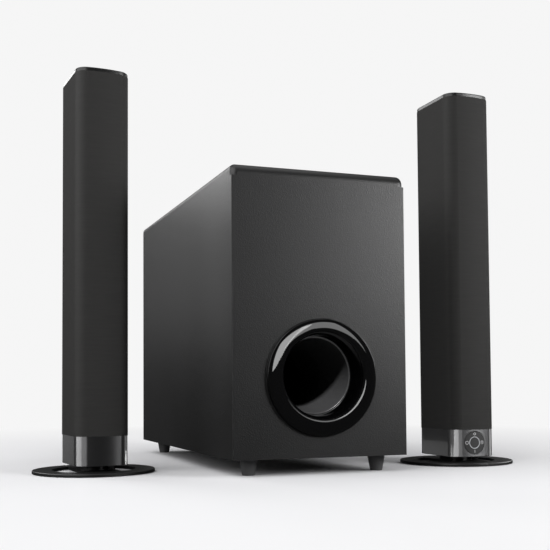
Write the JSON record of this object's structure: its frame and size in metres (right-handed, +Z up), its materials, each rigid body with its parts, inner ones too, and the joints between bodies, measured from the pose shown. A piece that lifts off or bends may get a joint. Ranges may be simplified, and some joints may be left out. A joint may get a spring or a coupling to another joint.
{
  "type": "desktop speaker set",
  "caption": "Desktop speaker set: a deep ported subwoofer on conical feet, and two slim cloth-covered satellite columns on flat ring stands, one with a control pad.",
  "frame": {"origin": "on the floor under the middle of the whole set's box", "axes": "+Z up, the fronts face -Y, +X to the listener's right"},
  "size_m": [0.5216, 0.418, 0.409],
  "materials": {
    "cabinet": "black vinyl wrap on board",
    "gloss": "high gloss",
    "tube": "black",
    "feet": "gloss",
    "screws": "blackened",
    "frame": "satin",
    "magnet": "ferrite with plated steel",
    "cone": "pressed pulp",
    "rubber": "matt",
    "coil": "former and copper winding",
    "plate": "fine textured",
    "board": "solder mask",
    "heatsink": "black anodised",
    "transformer": "laminated",
    "plastic": "moulded",
    "band": "satin gloss",
    "cloth": "woven grille cloth",
    "stand": "satin",
    "light": "translucent"
  },
  "bodies": {
    "subwoofer": {"cabinet_top": "cabinet", "cabinet_bottom": "cabinet", "cabinet_left": "cabinet", "cabinet_right": "cabinet", "front_baffle": "cabinet", "rear_board": "cabinet", "port_flare": "gloss", "port_tube": "tube", "cabinet_feet": "feet", "foot_screws": "screws", "woofer_frame": "frame", "woofer_magnet": "magnet", "woofer_surround": "rubber", "woofer_spider": "cloth", "woofer_screws": "screws", "amp_plate": "plate", "plate_screws": "screws", "amp_board": "board", "amp_heatsink": "heatsink", "amp_transformer": "transformer", "audio_sockets": "plastic", "mains_inlet": "plastic", "left_ring_stand": "stand", "left_stand_hub": "stand", "right_ring_stand": "stand", "right_stand_hub": "stand", "stand_pads": "rubber"},
    "woofer_moving": {"woofer_cone": "cone", "woofer_dust_cap": "cone", "woofer_voice_coil": "coil"},
    "power_switch": {"power_rocker": "plastic"},
    "volume_control": {"volume_knob": "plastic"},
    "bass_control": {"bass_knob": "plastic"},
    "left_column": {"left_shell": "plastic", "left_grille": "cloth", "left_top_cap": "band", "left_foot_band": "band", "left_baffle": "plastic", "left_driver_frames": "frame", "left_driver_surrounds": "rubber", "left_input_socket": "plastic"},
    "left_drivers": {"left_driver_cones": "cone"},
    "left_screw": {"left_thumb_screw": "stand"},
    "right_column": {"right_shell": "plastic", "right_grille": "cloth", "right_top_cap": "band", "right_foot_band": "band", "right_baffle": "plastic", "right_driver_frames": "frame", "right_driver_surrounds": "rubber", "right_input_socket": "plastic", "control_housing": "plastic", "control_board": "board"},
    "right_drivers": {"right_driver_cones": "cone"},
    "right_screw": {"right_thumb_screw": "stand"},
    "pad_gimbal": {"control_gimbal": "plastic"},
    "pad": {"control_pad": "band", "light_ring": "light"},
    "button": {"centre_button": "band"}
  },
  "joints": [
    {"name": "woofer_excursion", "type": "slide", "parent": "subwoofer", "child": "woofer_moving", "axis": [1, 0, 0], "range_m": [-0.004, 0.004], "stiffness_N_per_m": 2200, "deforming": ["woofer_surround", "woofer_spider"]},
    {"name": "power_rocker_tilt", "type": "hinge", "parent": "subwoofer", "child": "power_switch", "pos_m": [0.0194, 0.1954, 0.0916], "axis": [-1, 0, 0], "range_deg": [-16, 0]},
    {"name": "volume_turn", "type": "hinge", "parent": "subwoofer", "child": "volume_control", "pos_m": [0.0389, 0.203, 0.2096], "axis": [0, 1, 0], "range_deg": [-150, 150]},
    {"name": "bass_turn", "type": "hinge", "parent": "subwoofer", "child": "bass_control", "pos_m": [-0.0291, 0.203, 0.2096], "axis": [0, 1, 0], "range_deg": [-150, 150]},
    {"name": "left_column_lift", "type": "slide", "parent": "subwoofer", "child": "left_column", "axis": [0, 0, 1], "range_m": [0, 0.02]},
    {"name": "left_driver_excursion", "type": "slide", "parent": "left_column", "child": "left_drivers", "axis": [0.0872, -0.9962, 0], "range_m": [-0.001, 0.001], "stiffness_N_per_m": 900, "deforming": ["left_driver_surrounds"]},
    {"name": "left_thumb_screw_turn", "type": "hinge", "parent": "left_column", "child": "left_screw", "pos_m": [-0.18317, -0.09412, 0.006], "axis": [0, 0, 1], "continuous": true},
    {"name": "right_column_lift", "type": "slide", "parent": "subwoofer", "child": "right_column", "axis": [0, 0, 1], "range_m": [0, 0.02]},
    {"name": "right_driver_excursion", "type": "slide", "parent": "right_column", "child": "right_drivers", "axis": [0.0175, -0.9998, 0], "range_m": [-0.001, 0.001], "stiffness_N_per_m": 900, "deforming": ["right_driver_surrounds"]},
    {"name": "right_thumb_screw_turn", "type": "hinge", "parent": "right_column", "child": "right_screw", "pos_m": [0.21289, -0.14665, 0.006], "axis": [0, 0, 1], "continuous": true},
    {"name": "pad_tilt_sideways", "type": "hinge", "parent": "right_column", "child": "pad_gimbal", "pos_m": [0.19773, -0.16582, 0.0243], "axis": [0, 0, 1], "range_deg": [-2, 2], "stiffness_Nm_per_rad": 0.6},
    {"name": "pad_tilt_up_down", "type": "hinge", "parent": "pad_gimbal", "child": "pad", "pos_m": [0.19773, -0.16582, 0.0243], "axis": [0.9998, 0.0175, 0], "range_deg": [-2, 2], "stiffness_Nm_per_rad": 0.6},
    {"name": "centre_button_press", "type": "slide", "parent": "right_column", "child": "button", "axis": [-0.0175, 0.9998, 0], "range_m": [0, 0.0006], "stiffness_N_per_m": 800}
  ]
}
